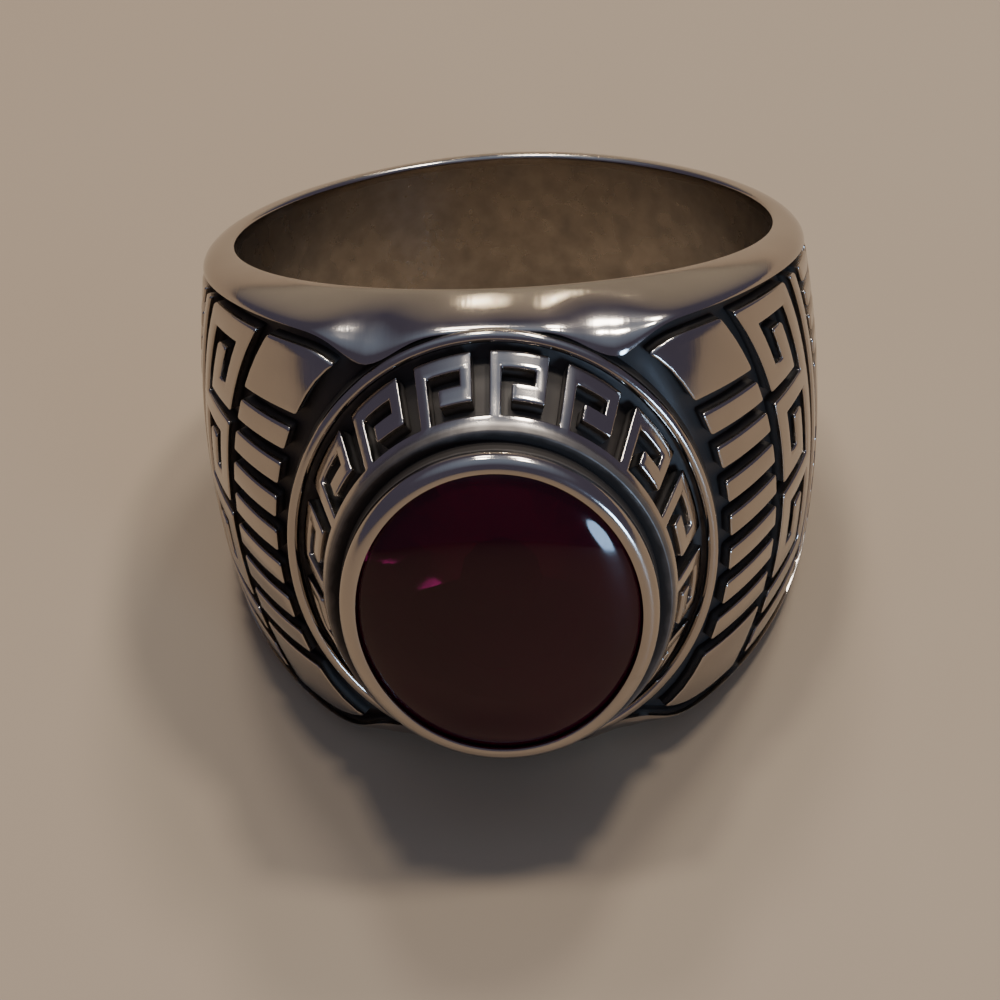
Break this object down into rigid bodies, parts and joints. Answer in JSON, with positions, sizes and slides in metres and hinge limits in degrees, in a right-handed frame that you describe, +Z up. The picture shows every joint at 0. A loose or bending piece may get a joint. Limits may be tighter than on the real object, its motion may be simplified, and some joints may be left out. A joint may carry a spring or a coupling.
{
  "type": "class ring",
  "caption": "Class ring in antiqued silver, with an oval dark red stone in a bezel, a running key round it and ornament panels on both shoulders, lying on its side.",
  "frame": {"origin": "on the ground, under the middle of the ring's box, as it lies on its side", "axes": "+Z up; the stone looks along -Y and 14.5 degrees upwards; the finger hole runs along Z, tipped 14.5 degrees towards +Y"},
  "size_m": [0.0222, 0.0284, 0.0173],
  "materials": {
    "antiqued_silver": "cast silver, polished on its rims and raised faces, oxidised dark in its recesses",
    "dark_red_stone": "polished dark garnet red, near black where it isn't lit"
  },
  "bodies": {
    "root": {"ring_body": "antiqued_silver", "stone": "dark_red_stone"}
  },
  "joints": []
}
